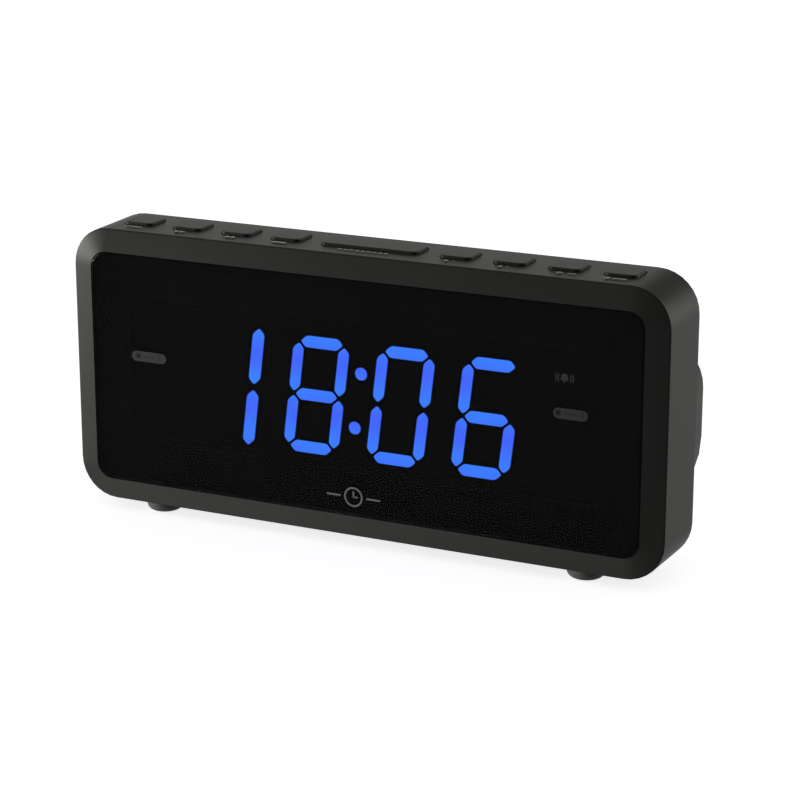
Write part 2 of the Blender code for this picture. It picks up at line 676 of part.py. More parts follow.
bm = bmesh.new()
for x, z in boss_places:
    add_rod(bm, COVER_SCREW_RADIUS + FIT_GAP, (x, PLATE_IN_Y - CASE_WALL, z),
            3 * CASE_WALL, segments=12)
add_rod(bm, JACK_BORE + FIT_GAP, (JACK_X, POD_INNER_Y - CASE_WALL, SOCKET_Z), 3 * CASE_WALL)
add_rod(bm, GROMMET_RADIUS + FIT_GAP, (GROMMET_X, POD_INNER_Y - CASE_WALL, SOCKET_Z),
        3 * CASE_WALL)
combine(rear_cover, "DIFFERENCE", add_cutter("cover_holes", bm))

# ---------------------------------------------------------------------------
# Battery door, cells and contacts
# ---------------------------------------------------------------------------
door_pivot = (BAY_X, REAR_Y - DOOR_THICKNESS / 2, DOOR_LOW_Z + DOOR_THICKNESS / 2)
bm = bmesh.new()
door = rounded(DOOR_WIDTH, DOOR_LOW_Z, DOOR_LOW_Z + DOOR_HEIGHT, DOOR_CORNER, steps=SMALL_STEPS)
add_loft(bm, [(door, REAR_Y - DOOR_THICKNESS), (door, REAR_Y)], "Y", (BAY_X, 0.0))
battery_door = add_object("battery_door", bm, CASE_PLASTIC, door_pivot)

cell_y = BAY_FLOOR_Y + CELL_RADIUS + FIT_GAP
nipple = 0.0010
for index, side in enumerate((1, -1), start=1):
    z = POD_MID_Z + side * CELL_SPACING / 2
    cell = turned(f"battery_cell_{index}", [
        (0.0, CELL_LENGTH / 2),
        (0.0019, CELL_LENGTH / 2),
        (0.0019, CELL_LENGTH / 2 - nipple),
        (CELL_RADIUS - 0.0004, CELL_LENGTH / 2 - nipple),
        (CELL_RADIUS, CELL_LENGTH / 2 - nipple - 0.0004),
        (CELL_RADIUS, -CELL_LENGTH / 2),
        (0.0, -CELL_LENGTH / 2),
    ], CELL_JACKET, (BAY_X, cell_y, z), steps=20)
    cell.rotation_euler = (0.0, side * pi / 2, 0.0)

contact_x = CELL_LENGTH / 2 + FIT_GAP
for name, side in (("battery_contact_left", -1), ("battery_contact_right", 1)):
    near = BAY_X + side * contact_x
    far = near + side * CONTACT_THICKNESS
    bm = bmesh.new()
    add_box(bm, (min(near, far), BAY_FLOOR_Y + FIT_GAP, bay_low_z + 2 * FIT_GAP),
            (max(near, far), BAY_OUT_Y - 4 * FIT_GAP, bay_top_z - 2 * FIT_GAP))
    add_object(name, bm, STEEL, (near, cell_y, POD_MID_Z))

# ---------------------------------------------------------------------------
# Speaker: pressed basket, ring magnet and cone
# ---------------------------------------------------------------------------
speaker_face = (SPEAKER_X, POD_INNER_Y - FIT_GAP, POD_MID_Z)
rim_inner = SPEAKER_RADIUS - 0.0020
throat = MAGNET_RADIUS - 0.0030
basket_low = -SPEAKER_DEPTH
turned("speaker_frame", [
    (SPEAKER_RADIUS, 0.0),
    (SPEAKER_RADIUS, -SPEAKER_WALL),
    (rim_inner, -SPEAKER_WALL),
    (rim_inner, basket_low / 2),
    (throat + 0.0030, basket_low),
    (throat - SPEAKER_WALL, basket_low),
    (throat - SPEAKER_WALL, basket_low + SPEAKER_WALL),
    (throat + 0.0030 - SPEAKER_WALL, basket_low + SPEAKER_WALL),
    (rim_inner - SPEAKER_WALL, basket_low / 2),
    (rim_inner - SPEAKER_WALL, 0.0),
], STEEL, speaker_face, "Y")
turned("speaker_magnet", [
    (0.0, basket_low - FIT_GAP),
    (MAGNET_RADIUS, basket_low - FIT_GAP),
    (MAGNET_RADIUS, basket_low - FIT_GAP - MAGNET_DEPTH),
    (0.0, basket_low - FIT_GAP - MAGNET_DEPTH),
], FERRITE, speaker_face, "Y")
cone_wall = 0.0006
cone_gap = CONE_TRAVEL + FIT_GAP
cone_rim = rim_inner - SPEAKER_WALL - cone_gap - 0.0006
cone_top = -SPEAKER_WALL - cone_gap
dome = 0.0045
turned("speaker_cone", [
    (0.0, cone_top - 0.0012),
    (0.5 * dome, cone_top - 0.0015),
    (dome, cone_top - 0.0028),
    (cone_rim, cone_top),
    (cone_rim, cone_top - cone_wall),
    (dome, cone_top - 0.0028 - cone_wall),
    (0.5 * dome, cone_top - 0.0015 - cone_wall),
    (0.0, cone_top - 0.0012 - cone_wall),
], CONE_PAPER, speaker_face, "Y")

# ---------------------------------------------------------------------------
# Power socket and aerial grommet
# ---------------------------------------------------------------------------
half = JACK_SIZE / 2
jack_low_y = POD_INNER_Y - FIT_GAP - JACK_LENGTH
bm = bmesh.new()
add_box(bm, (JACK_X - half, jack_low_y, SOCKET_Z - half),
        (JACK_X + half, POD_INNER_Y - FIT_GAP, SOCKET_Z + half))
dc_jack = add_object("dc_jack", bm, BLACK_PLASTIC, (JACK_X, POD_INNER_Y, SOCKET_Z))
bore_floor_y = jack_low_y + CASE_WALL
bm = bmesh.new()
add_rod(bm, JACK_BORE, (JACK_X, bore_floor_y, SOCKET_Z), JACK_LENGTH)
combine(dc_jack, "DIFFERENCE", add_cutter("jack_bore", bm))
bm = bmesh.new()
add_rod(bm, JACK_PIN, (JACK_X, bore_floor_y - CASE_WALL / 2, SOCKET_Z),
        JACK_LENGTH - CASE_WALL, segments=12)
combine(dc_jack, "UNION", add_cutter("jack_pin", bm))

inner_flange = GROMMET_RADIUS + GROMMET_FLANGE
flange_end = -CASE_WALL - FIT_GAP - GROMMET_FLANGE
turned("antenna_grommet", [
    (WIRE_HOLE, 0.0),
    (GROMMET_RADIUS, 0.0),
    (GROMMET_RADIUS, -CASE_WALL - FIT_GAP),
    (inner_flange, -CASE_WALL - FIT_GAP),
    (inner_flange, flange_end),
    (WIRE_HOLE, flange_end),
], RUBBER, (GROMMET_X, REAR_Y, SOCKET_Z), "Y", 16)

# ---------------------------------------------------------------------------
# Screws and feet
# ---------------------------------------------------------------------------
def screw_profile(radius, length, head_radius, head_height):
    """Pan head on a plain shank; the head's underside is at height zero."""
    return [
        (0.0, head_height),
        (0.6 * head_radius, head_height),
        (head_radius, 0.5 * head_height),
        (head_radius, 0.0),
        (radius, 0.0),
        (radius, -length + radius),
        (0.3 * radius, -length),
        (0.0, -length),
    ]


for index, (x, z) in enumerate(boss_places, start=1):
    shank = COVER_SCREW_LENGTH + CASE_WALL - FIT_GAP
    turned(f"cover_screw_{index}",
           screw_profile(COVER_SCREW_RADIUS, shank, SCREW_HEAD_RADIUS, SCREW_HEAD_HEIGHT),
           STEEL, (x, PLATE_OUT_Y + FIT_GAP, z), "Y", 12)

for index, (x, z) in enumerate(post_places, start=1):
    shank = BOARD_SCREW_LENGTH + BOARD_THICKNESS - FIT_GAP
    turned(f"board_screw_{index}",
           screw_profile(BOARD_SCREW_RADIUS, shank, 0.8 * SCREW_HEAD_RADIUS, SCREW_HEAD_HEIGHT),
           STEEL, (x, MAIN_BOARD_BACK_Y + FIT_GAP, z), "Y", 12)

foot_top = FOOT_HEIGHT - FIT_GAP
foot_profile = [(0.0, foot_top), (FOOT_RADIUS, foot_top)]
for step in range(5):
    angle = pi / 2 * step / 4
    foot_profile.append((FOOT_RADIUS - FOOT_ROUND * (1 - cos(angle)),
                         FOOT_ROUND * (1 - sin(angle))))
foot_profile.append((0.0, 0.0))

front_foot_x = HALF_WIDTH - FRONT_FOOT_INSET_X
front_foot_y = EDGE_Y + FRONT_FOOT_INSET_Y
for name, x, y in (
        ("foot_front_left", -front_foot_x, front_foot_y),
        ("foot_front_right", front_foot_x, front_foot_y),
        ("foot_rear_left", -rear_foot_x, rear_foot_y),
        ("foot_rear_right", rear_foot_x, rear_foot_y)):
    turned(name, foot_profile, RUBBER, (x, y, 0.0), "Z", 20)
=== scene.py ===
from math import pi, radians, tan

import bmesh
import bpy
from mathutils import Matrix, Vector


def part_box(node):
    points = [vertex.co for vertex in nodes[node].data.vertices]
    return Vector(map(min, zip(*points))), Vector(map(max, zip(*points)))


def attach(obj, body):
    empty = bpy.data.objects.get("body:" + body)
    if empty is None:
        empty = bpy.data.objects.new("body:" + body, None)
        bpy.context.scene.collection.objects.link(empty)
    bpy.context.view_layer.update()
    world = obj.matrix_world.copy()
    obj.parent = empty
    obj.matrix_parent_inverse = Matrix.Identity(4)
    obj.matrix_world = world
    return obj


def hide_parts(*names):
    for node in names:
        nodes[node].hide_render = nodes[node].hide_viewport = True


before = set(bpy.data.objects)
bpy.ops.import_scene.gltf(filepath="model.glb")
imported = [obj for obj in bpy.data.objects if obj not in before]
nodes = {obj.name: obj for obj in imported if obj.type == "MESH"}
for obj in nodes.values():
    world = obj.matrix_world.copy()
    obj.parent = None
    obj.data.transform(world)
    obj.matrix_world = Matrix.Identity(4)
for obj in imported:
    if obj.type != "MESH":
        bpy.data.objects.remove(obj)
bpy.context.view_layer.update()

# ---------------------------------------------------------------------------
# Front housing. One injection moulding in satin black ABS: bezel, top, sides
# and bottom, open at the back. It is the body that everything else is fixed to.
# ---------------------------------------------------------------------------
class Shade:
    """A socket of one material, whose maths reads as an expression."""

    def __init__(self, tree, socket=None):
        self.tree, self.socket = tree, socket

    def node(self, kind, settings, values, output=0):
        """Adds a node: its settings are set first, then each socket's value or link."""
        node = self.tree.nodes.new(kind)
        for name, value in settings.items():
            setattr(node, name, value)
        for name, value in values.items():
            self.feed(node.inputs[name], value)
        return Shade(self.tree, node.outputs[output])

    def feed(self, socket, value):
        if isinstance(value, Shade):
            self.tree.links.new(value.socket, socket)
        else:
            socket.default_value = value

    def maths(self, operation, first, second=0.0):
        return self.node("ShaderNodeMath", {"operation": operation}, {0: first, 1: second})

    def blend(self, first, second):
        """Colour between two colours, by this value."""
        return self.node("ShaderNodeMix", {"data_type": "RGBA"},
                         {0: self, 6: first, 7: second}, 2)

    def place(self):
        """Place of each point of the surface, in metres."""
        return self.node("ShaderNodeTexCoord", {}, {}, "Object")

    def noise(self, scale, detail=2.0):
        """Even noise, with about this many blotches to the metre."""
        return self.node("ShaderNodeTexNoise", {}, {
            "Vector": self.place(), "Scale": scale, "Detail": detail})

    def __add__(self, other):
        return self.maths("ADD", self, other)

    def __sub__(self, other):
        return self.maths("SUBTRACT", self, other)

    def __rsub__(self, other):
        return self.maths("SUBTRACT", other, self)

    def __mul__(self, other):
        return self.maths("MULTIPLY", self, other)

    def __gt__(self, other):
        return self.maths("GREATER_THAN", self, other)

    __radd__, __rmul__ = __add__, __mul__


def new_finish(name, constants):
    """New material, with its plain values set, as (material, its Shade, its shader's sockets)."""
    material = bpy.data.materials.new(name)
    material.use_nodes = True
    sockets = material.node_tree.nodes["Principled BSDF"].inputs
    for socket, value in constants.items():
        sockets[socket].default_value = value
    return material, Shade(material.node_tree), sockets


TONE_PATCH = 0.03                       # across one cloudy patch of a moulding's tone


def grained(name, dark, light, gloss, grain, relief, constants):
    """Finish in two close tones, with uneven gloss and a fine raised grain."""
    material, shade, sockets = new_finish(name, constants)
    broad = shade.noise(1 / TONE_PATCH, 4.0)
    fine = shade.noise(1 / grain)
    tone = broad * 0.7 + fine * 0.3
    shade.feed(sockets["Base Color"], tone.blend((*dark, 1.0), (*light, 1.0)))
    shade.feed(sockets["Roughness"], gloss[0] + (gloss[1] - gloss[0]) * (broad * 0.6 + fine * 0.4))
    shade.feed(sockets["Normal"], shade.node("ShaderNodeBump", {}, {
        "Strength": 0.5, "Distance": relief, "Height": fine}))
    return material


SHARP_ANGLE = radians(35)               # a moulding's edges past this angle are rounded
SMOOTH_ANGLE = radians(40)              # faces that meet under this angle shade as one


def moulding(name, node, material, edge, body="case"):
    """Copy of a CAD node with its facets merged and its sharp edges rounded."""
    bm = bmesh.new()
    bm.from_mesh(nodes[node].data)
    bmesh.ops.remove_doubles(bm, verts=bm.verts, dist=1e-6)
    bmesh.ops.dissolve_limit(bm, angle_limit=radians(1.0), verts=bm.verts, edges=bm.edges)
    sharp = [e for e in bm.edges if e.calc_face_angle(0.0) > SHARP_ANGLE]
    bmesh.ops.bevel(bm, geom=sharp, offset=edge, segments=3, profile=0.5, affect="EDGES",
                    material=-1, clamp_overlap=True)
    return finished(name, bm, material, body, [node])


def finished(name, bm, material, body, stands_for=()):
    """Piece made from a mesh that is already in place."""
    mesh = bpy.data.meshes.new(name)
    bm.to_mesh(mesh)
    bm.free()
    mesh.materials.clear()
    mesh.materials.append(material)
    mesh.shade_smooth()
    mesh.set_sharp_from_angle(angle=SMOOTH_ANGLE)
    piece = bpy.data.objects.new(name, mesh)
    bpy.context.scene.collection.objects.link(piece)
    flats = piece.modifiers.new("flat_faces", "WEIGHTED_NORMAL")
    flats.keep_sharp, flats.weight = True, 90
    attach(piece, body)
    if stands_for:
        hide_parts(*stands_for)
    return piece


satin_black = grained(
    "satin_black_abs", (0.0040, 0.0041, 0.0039), (0.0062, 0.0062, 0.0058), (0.39, 0.47),
    0.0004, 0.00002, {"IOR": 1.12})
moulding("housing_shell", "front_housing", satin_black, edge=0.00016)

# ---------------------------------------------------------------------------
# Display lens. A smoked acrylic plate, polished on its face, with a black
# border printed behind it; it is glued to the ledge inside the bezel.
# ---------------------------------------------------------------------------
def rounded_face(width, height, radius, steps=8):
    """Flat rounded rectangle, lying on the floor plane."""
    bm = bmesh.new()
    bmesh.ops.create_grid(bm, x_segments=1, y_segments=1, size=0.5)
    bmesh.ops.scale(bm, vec=(width, height, 1.0), verts=bm.verts)
    if radius:
        bmesh.ops.bevel(bm, geom=bm.verts[:], offset=radius, segments=steps, profile=0.5,
                        affect="VERTICES", material=-1)
    return bm


def thicken(bm, thickness, rounding=0.0, steps=3):
    """Raises a flat shape upward into a slab, with its upper edge rounded."""
    grown = bmesh.ops.extrude_face_region(bm, geom=bm.faces[:])["geom"]
    top = [part for part in grown if isinstance(part, bmesh.types.BMVert)]
    bmesh.ops.translate(bm, vec=(0.0, 0.0, thickness), verts=top)
    bmesh.ops.recalc_face_normals(bm, faces=bm.faces)
    if rounding:
        upper = set(top)
        rim = [e for e in bm.edges if e.verts[0] in upper and e.verts[1] in upper
               and e.calc_face_angle(0.0) > 1.0]
        bmesh.ops.bevel(bm, geom=rim, offset=rounding, segments=steps, profile=0.5,
                        affect="EDGES", material=-1)
    return bm


FACING_FRONT = Matrix.Rotation(pi / 2, 4, "X")      # up becomes towards the front


def stand(bm, x, y, z, turn=FACING_FRONT):
    """Turns a flat-drawn shape, and puts the origin of its drawing at a point."""
    bmesh.ops.transform(bm, matrix=Matrix.Translation((x, y, z)) @ turn, verts=bm.verts)
    return bm


LENS_CORNER = 0.0047
LENS_ROUNDING = 0.0004                  # of its front edge
LENS_STEPS = 12                         # facets round a corner
PRINT_THICKNESS = 0.00003               # both layers of the markings on its face
BORDER_MARGIN = 0.0002                  # lens edge to border edge
BORDER_WIDTH = 0.0118
BORDER_THICKNESS = 0.0001
BORDER_GAP = 0.00005                    # lens back to border
lens_low, lens_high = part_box("display_lens")
lens_size = lens_high - lens_low
lens_z = (lens_low.z + lens_high.z) / 2
lens_face_y = lens_low.y + PRINT_THICKNESS

smoked_acrylic, shade, sockets = new_finish("smoked_acrylic", {"IOR": 1.12, "Alpha": 0.55})
smears = shade.noise(26.0, 5.0)
shade.feed(sockets["Base Color"],
           smears.blend((0.0006, 0.0006, 0.0007, 1), (0.0011, 0.0011, 0.0011, 1)))
shade.feed(sockets["Roughness"], 0.09 + 0.07 * smears)
bm = thicken(rounded_face(lens_size.x, lens_size.z, LENS_CORNER, LENS_STEPS),
             lens_high.y - lens_face_y, LENS_ROUNDING, 4)
finished("lens_plate", stand(bm, 0.0, lens_high.y, lens_z), smoked_acrylic, "case",
         ["display_lens"])

printed_black = grained(
    "printed_black", (0.0010, 0.0010, 0.0010), (0.0016, 0.0016, 0.0016), (0.50, 0.60),
    0.0003, 0.000004, {"IOR": 1.10})
bm = rounded_face(lens_size.x - 2 * BORDER_MARGIN, lens_size.z - 2 * BORDER_MARGIN,
                  LENS_CORNER - BORDER_MARGIN, LENS_STEPS)
bmesh.ops.inset_region(bm, faces=bm.faces[:], thickness=BORDER_WIDTH, use_boundary=True)
window = min(bm.faces, key=lambda face: face.calc_center_median().length)
bmesh.ops.delete(bm, geom=[window], context="FACES")
border_back_y = lens_high.y + BORDER_GAP + BORDER_THICKNESS
finished("lens_border", stand(thicken(bm, BORDER_THICKNESS), 0.0, border_back_y, lens_z),
         printed_black, "case")


def dress(material, *names):
    """Gives a finish to CAD nodes that keep their own shape."""
    for name in names:
        for slot in nodes[name].material_slots:
            slot.material = material


dress(printed_black, "digit_reflector")

# ---------------------------------------------------------------------------
# Digits. Clear diffusers in the reflector block, lit from behind by blue
# lamps: slanted seven-segment figures with pointed bars, and two round dots.
# ---------------------------------------------------------------------------
BAR_THICKNESS = 0.0035
UPRIGHT_THICKNESS = 0.0034
BAR_ROUNDING = 0.0006                   # of a bar's corners
POINT_SHARE = 0.999                     # of half a bar's thickness, cut off at each corner
SLANT = tan(radians(7.0))
STROKE_SPACING = 0.0146                 # between a figure's two uprights
BAR_SPACING = 0.0159                    # between its bars
BAR_LENGTH = 0.0135
UPRIGHT_LENGTH = 0.0148
FIGURE_Z = 0.04415
FIGURES = ((-0.01337, "abcdefg"), (0.01357, "abcdef"), (0.04019, "acdefg"))
ONE_X = -0.0340
ONE_LENGTH = 0.0172
ONE_THICKNESS = 0.0038
ONE_SPACING = 0.0188
DOT_RADIUS = 0.00188
DOTS = ((0.00110, 0.05238), (-0.00101, 0.03602))
DIFFUSER_THICKNESS = 0.0004
DIFFUSER_PROUD = 0.00008                # how far it stands out of the reflector's face
GLOW_RISE = 0.0024                      # the glow is palest this far above each bar's middle
diffuser_back_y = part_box("digit_reflector")[0].y - DIFFUSER_PROUD + DIFFUSER_THICKNESS

lit_blue, shade, sockets = new_finish("lit_blue", {"Roughness": 0.6, "Emission Strength": 4.8})
cloud = shade.noise(90.0, 1.0)
height = shade.node("ShaderNodeSeparateXYZ", {}, {"Vector": shade.place()}, 2)
wave = shade.maths("COSINE", (height - (FIGURE_Z + GLOW_RISE)) * (2 * pi / BAR_SPACING))
uneven = cloud * 0.6 + (0.20 + wave * 0.36)
shade.feed(sockets["Base Color"], uneven.blend((0.01, 0.02, 0.06, 1), (0.01, 0.03, 0.08, 1)))
shade.feed(sockets["Emission Color"],
           uneven.blend((0.050, 0.118, 0.98, 1), (0.036, 0.212, 1.0, 1)))


def segment(length, thickness, upright):
    """Bar with both ends cut to a point, its corners a little rounded."""
    bm = rounded_face(length, thickness, POINT_SHARE * thickness / 2, 1)
    bmesh.ops.remove_doubles(bm, verts=bm.verts, dist=0.0001)
    bmesh.ops.bevel(bm, geom=bm.verts[:], offset=BAR_ROUNDING, segments=4, profile=0.5,
                    affect="VERTICES", material=-1)
    if upright:
        bmesh.ops.rotate(bm, cent=(0, 0, 0), matrix=Matrix.Rotation(pi / 2, 3, "Z"), verts=bm.verts)
    return thicken(bm, DIFFUSER_THICKNESS)


def slanted(bm, x, z):
    """Leans a segment, drawn at a height above the figure's middle, and puts it in place."""
    for vert in bm.verts:
        vert.co.x += (vert.co.y + z) * SLANT
    return stand(bm, x, diffuser_back_y, FIGURE_Z + z)


def join(meshes):
    """One mesh from several."""
    whole = bmesh.new()
    for part in meshes:
        holder = bpy.data.meshes.new("part")
        part.to_mesh(holder)
        part.free()
        whole.from_mesh(holder)
        bpy.data.meshes.remove(holder)
    return whole


left, right = -STROKE_SPACING / 2, STROKE_SPACING / 2
upper, lower = BAR_SPACING / 2, -BAR_SPACING / 2
SEGMENTS = {
    "a": (0.0, BAR_SPACING, False), "g": (0.0, 0.0, False), "d": (0.0, -BAR_SPACING, False),
    "f": (left, upper, True), "b": (right, upper, True),
    "e": (left, lower, True), "c": (right, lower, True)}

for index, (x, lit) in enumerate(FIGURES, start=2):
    bars = []
    for letter in lit:
        across, up, upright = SEGMENTS[letter]
        size = (UPRIGHT_LENGTH, UPRIGHT_THICKNESS) if upright else (BAR_LENGTH, BAR_THICKNESS)
        bars.append(slanted(segment(*size, upright), x + across, up))
    finished(f"figure_{index}", join(bars), lit_blue, "case")

bars = [slanted(segment(ONE_LENGTH, ONE_THICKNESS, True), ONE_X, side * ONE_SPACING / 2)
        for side in (-1, 1)]
finished("figure_1", join(bars), lit_blue, "case")

for index, (x, z) in enumerate(DOTS, start=1):
    bm = bmesh.new()
    bmesh.ops.create_circle(bm, cap_ends=True, segments=32, radius=DOT_RADIUS)
    finished(f"colon_dot_{index}", stand(thicken(bm, DIFFUSER_THICKNESS), x, diffuser_back_y, z),
             lit_blue, "case")

# ---------------------------------------------------------------------------
# Markings on the lens. Thin grey screen print: a pill with a bell and a number
# for each alarm, a ringing bell for the sounder, and a plain dial emblem.
# ---------------------------------------------------------------------------
PRINT_LAYER = PRINT_THICKNESS / 2
BELL_FLARE = 0.5                        # these five are a bell's proportions, at radius 1
BELL_STRETCH = 1.3
BELL_LIP = 0.95
CLAPPER_RADIUS = 0.3
CLAPPER_DROP = 1.25


def shift(bm, x, y, z=0.0):
    """Moves a whole mesh."""
    bmesh.ops.translate(bm, vec=(x, y, z), verts=bm.verts)
    return bm


def cut(bm, point, normal, clear_outer=False):
    """Cuts a whole mesh along a plane, and may drop the side that the normal points to."""
    bmesh.ops.bisect_plane(bm, geom=bm.verts[:] + bm.edges[:] + bm.faces[:], dist=1e-7,
                           plane_co=point, plane_no=normal, clear_outer=clear_outer)


def flat_bar(width, height, radius=0.0, x=0.0, y=0.0):
    return shift(rounded_face(width, height, radius, 6), x, y)


def flat_dot(radius, x=0.0, y=0.0, sides=32, turn=0.0):
    bm = bmesh.new()
    bmesh.ops.create_circle(bm, cap_ends=True, segments=sides, radius=radius,
                            matrix=Matrix.Translation((x, y, 0.0)) @ Matrix.Rotation(turn, 4, "Z"))
    return bm


def flat_ring(radius, width, x=0.0):
    bm = flat_dot(radius, x, sides=48)
    rim = bmesh.ops.inset_region(bm, faces=bm.faces[:], thickness=width,
                                 use_boundary=True)["faces"]
    bmesh.ops.delete(bm, geom=[face for face in bm.faces if face not in rim], context="FACES")
    return bm


def flat_bell(radius, x=0.0, y=0.0):
    """Bell: a dome that flares to a straight lip, over its clapper."""
    bm = flat_dot(radius)
    for vert in bm.verts:
        if vert.co.y < 0.0:
            vert.co.x *= 1.0 - BELL_FLARE * vert.co.y / radius
            vert.co.y = max(vert.co.y * BELL_STRETCH, -BELL_LIP * radius)
    bmesh.ops.dissolve_limit(bm, angle_limit=radians(1.0), verts=bm.verts, edges=bm.edges)
    clapper = flat_dot(CLAPPER_RADIUS * radius, x, y - CLAPPER_DROP * radius, 16)
    return join([shift(bm, x, y), clapper])


def flat_number(text, size, x):
    letters = bpy.data.curves.new("number", "FONT")
    letters.body, letters.size = text, size
    letters.align_x, letters.align_y = "CENTER", "CENTER"
    holder = bpy.data.objects.new("number", letters)
    bm = bmesh.new()
    bm.from_mesh(holder.to_mesh())
    holder.to_mesh_clear()
    bpy.data.objects.remove(holder)
    bmesh.ops.remove_doubles(bm, verts=bm.verts, dist=1e-6)
    return shift(bm, x, 0.0)


def printed(name, shapes, material, x, z, layer=0):
    """Print on the lens: flat shapes of one ink, in the first or second layer."""
    base_y = lens_face_y - layer * PRINT_LAYER
    finished(name, stand(thicken(join(shapes), PRINT_LAYER), x, base_y, z), material,
             "case")


def ink(name, dark, light, ior):
    """Screen-printing ink, matt and even."""
    return grained(name, dark, light, (0.5, 0.6), 0.0002, 0.000002, {"IOR": ior})


grey_ink = ink("grey_ink", (0.0042, 0.0046, 0.0046), (0.0066, 0.0070, 0.0070), 1.15)
pale_ink = ink("pale_ink", (0.028, 0.028, 0.029), (0.038, 0.038, 0.039), 1.15)
black_ink = ink("black_ink", (0.001, 0.001, 0.001), (0.002, 0.002, 0.002), 1.1)

PILL_HEIGHT, PILL_CORNER = 0.0031, 0.00154
PILL_MARK_X = 0.0036                    # the bell and the number, either side of the middle
PILL_DOT_SPACING = 0.0012
for name, number, width, x, z in (
        ("alarm_pill_1", "1", 0.0118, -0.0680, 0.0497),
        ("alarm_pill_2", "2", 0.0103, 0.0663, 0.0494)):
    printed(name, [flat_bar(width, PILL_HEIGHT, PILL_CORNER)], grey_ink, x, z)
    marks = [flat_bell(0.0007, -PILL_MARK_X, 0.0002), flat_number(number, 0.0026, PILL_MARK_X)]
    marks += [flat_dot(0.0003, PILL_DOT_SPACING * step, sides=16) for step in (-1, 0, 1)]
    printed(name + "_marks", marks, black_ink, x, z, 1)

WAVE_STROKE = 0.00034
WAVE_HALF_HEIGHT = 0.0011
waves = []
for radius in (0.0021, 0.0028):
    arcs = flat_ring(radius, WAVE_STROKE)
    for side in (-1, 1):
        cut(arcs, (0, side * WAVE_HALF_HEIGHT, 0), (0, side, 0), clear_outer=True)
    waves.append(arcs)
printed("sounder_mark", waves + [flat_bell(0.00105, 0.0, 0.0002)], grey_ink, 0.0644, 0.0596)

EMBLEM_STROKE = 0.00055
dial = flat_ring(0.0030, EMBLEM_STROKE)
hands = [flat_bar(EMBLEM_STROKE, 0.0019, y=0.00075), flat_bar(0.0015, EMBLEM_STROKE, x=0.00055)]
dashes = [flat_bar(0.0045, EMBLEM_STROKE, 0.0002, side * 0.0064) for side in (-1, 1)]
printed("dial_emblem", [dial, *hands, *dashes], pale_ink, -0.0004, 0.0159)

# ---------------------------------------------------------------------------
# Circuit boards. Glass-epoxy laminate under green solder resist, with the
# tracks showing through; the parts on them are black resin and a sleeved can.
# ---------------------------------------------------------------------------
board_green, shade, sockets = new_finish("board_green", {})
turned = shade.node("ShaderNodeMapping", {}, {
    "Vector": shade.place(), "Rotation": (pi / 2, 0.0, 0.0)})
tracks = shade.node("ShaderNodeTexBrick", {"offset": 0.37, "squash": 0.6}, {
    "Vector": turned, "Color1": (0.006, 0.055, 0.022, 1), "Color2": (0.009, 0.070, 0.028, 1),
    "Mortar": (0.030, 0.150, 0.060, 1), "Scale": 170.0, "Mortar Size": 0.06})
glass = shade.noise(900.0)
shade.feed(sockets["Base Color"], tracks)
shade.feed(sockets["Roughness"], 0.28 + 0.16 * glass)
shade.feed(sockets["Normal"], shade.node("ShaderNodeBump", {}, {
    "Strength": 0.3, "Distance": 0.00002, "Height": glass}))
dress(board_green, "display_board", "main_board", "key_board")

chip_resin = grained("chip_resin", (0.012, 0.012, 0.013), (0.022, 0.022, 0.024), (0.42, 0.60),
                     0.00015, 0.00001, {})
can_sleeve = grained("can_sleeve", (0.010, 0.014, 0.050), (0.016, 0.022, 0.075), (0.22, 0.34),
                     0.0008, 0.000004, {})
ribbon_vinyl = grained("ribbon_vinyl", (0.34, 0.34, 0.35), (0.44, 0.44, 0.45), (0.45, 0.60),
                       0.0006, 0.00001, {})
moulded_black = grained("moulded_black", (0.008, 0.008, 0.008), (0.015, 0.015, 0.015),
                        (0.42, 0.60), 0.0004, 0.00001, {"IOR": 1.35})
dress(chip_resin, "controller_chip", "tuner_chip")
dress(can_sleeve, "filter_capacitor")
dress(ribbon_vinyl, "key_ribbon")
dress(moulded_black, "board_connector", *(f"switch_{n}" for n in range(1, 10)))

LEG_LENGTH, LEG_WIDTH, LEG_THICKNESS = 0.0011, 0.0004, 0.0003
LEG_X = 0.0005                          # chip edge to the middle of a leg
LEG_BACK = 0.0001                       # the chip's front side to the back of a leg
tinned = grained("tinned_metal", (0.42, 0.42, 0.43), (0.58, 0.58, 0.59), (0.22, 0.40),
                 0.0005, 0.000004, {"Metallic": 1.0})
for name, pitch in (("controller_chip", 0.0010), ("tuner_chip", 0.00127)):
    low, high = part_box(name)
    count = int((high.z - low.z - pitch) / pitch)
    legs = []
    for x in (low.x - LEG_X, high.x + LEG_X):
        for step in range(count):
            leg = thicken(rounded_face(LEG_LENGTH, LEG_WIDTH, 0.0), LEG_THICKNESS)
            legs.append(stand(leg, x, low.y + LEG_BACK, low.z + pitch * (step + 1)))
    finished(name.replace("chip", "legs"), join(legs), tinned, "case")

# ---------------------------------------------------------------------------
# Keys. Nine ABS caps in the case top, each moulded with a flange that holds it
# in and a stem that rests on a tact switch's white plunger.
# ---------------------------------------------------------------------------
FLANGE = 0.0008                         # how far it stands out round the cap
FLANGE_THICKNESS = 0.0010
FLANGE_DEPTH = 0.0023                   # case top to the flange's top
KEY_CORNER = 0.0020
KEY_TOP_ROUNDING = 0.00035
STEM_WIDTH, STEM_CORNER = 0.0030, 0.0005
SUNK = 0.0001                           # how far cap and stem reach into the flange
case_top_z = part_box("front_housing")[1].z
white_nylon = grained("white_nylon", (0.60, 0.59, 0.55), (0.70, 0.69, 0.65), (0.35, 0.5),
                      0.0006, 0.000006, {})
dress(white_nylon, *(f"plunger_{n}" for n in range(1, 10)))
key_black = grained("key_black_abs", (0.0036, 0.0037, 0.0035), (0.0056, 0.0056, 0.0053),
                    (0.42, 0.50), 0.0003, 0.000012, {"IOR": 1.12})

